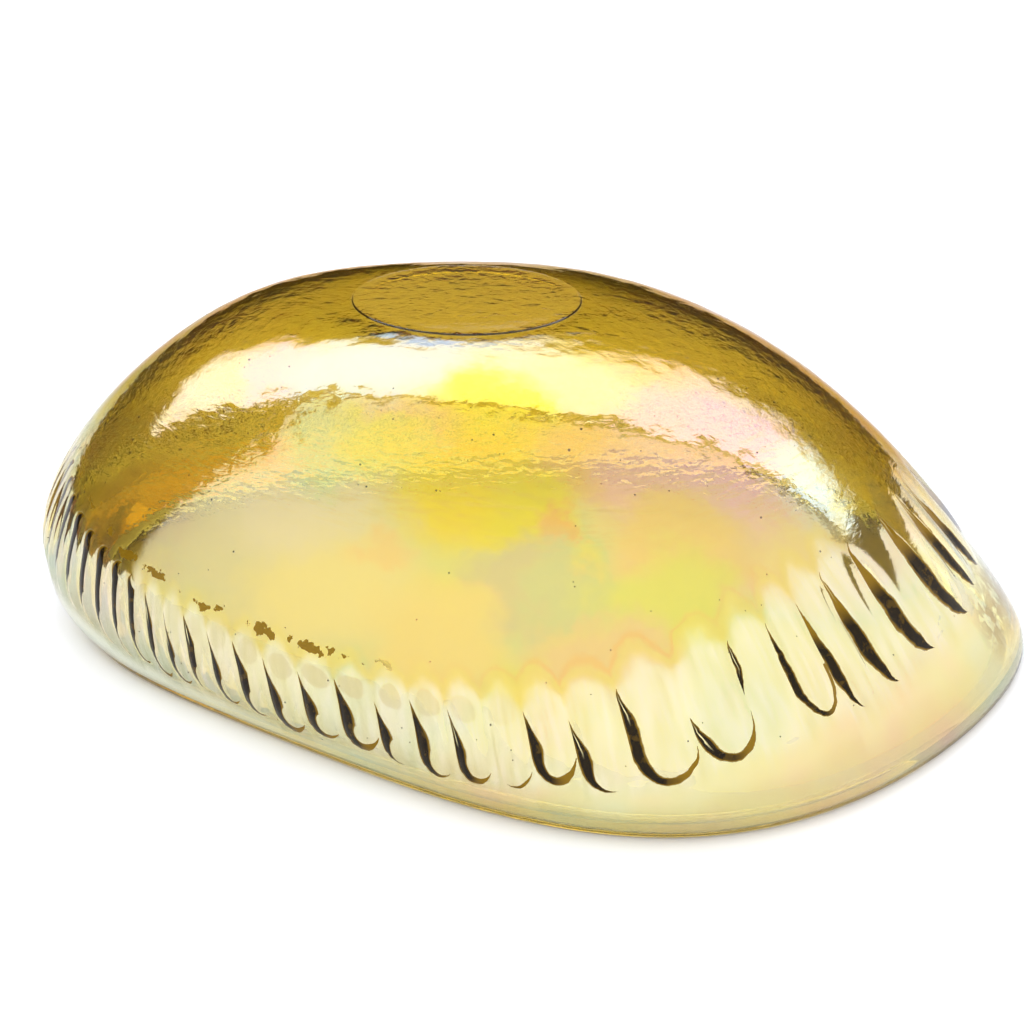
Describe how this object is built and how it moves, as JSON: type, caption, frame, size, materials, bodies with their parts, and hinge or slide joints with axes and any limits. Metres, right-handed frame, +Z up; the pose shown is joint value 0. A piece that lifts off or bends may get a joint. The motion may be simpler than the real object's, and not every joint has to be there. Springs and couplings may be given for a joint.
{
  "type": "glass bowl",
  "caption": "Clam-shaped hand-blown amber glass bowl with fluted shoulder and iridescent lustre, stood mouth down; serves food or displays.",
  "frame": {"origin": "on the table, under the middle of the bowl's box, the bowl standing mouth down on its lip as it is shown", "axes": "+X along the long axis towards the pointed tip, +Z up out of the foot, +Y across the bowl; in use the bowl is turned over to stand on the foot"},
  "size_m": [0.3162, 0.2512, 0.1025],
  "materials": {
    "amber_glass": "transparent amber glass, fine hammered ripple",
    "foot_glass": "polished, with a ground edge",
    "lip_glass": "fire polished",
    "lustre": "iridescent metallic lustre in pastel yellow, pink and green"
  },
  "bodies": {
    "root": {"bowl_wall": "amber_glass", "foot_pad": "foot_glass", "lip_bead": "lip_glass", "lustre_film": "lustre"}
  },
  "joints": []
}
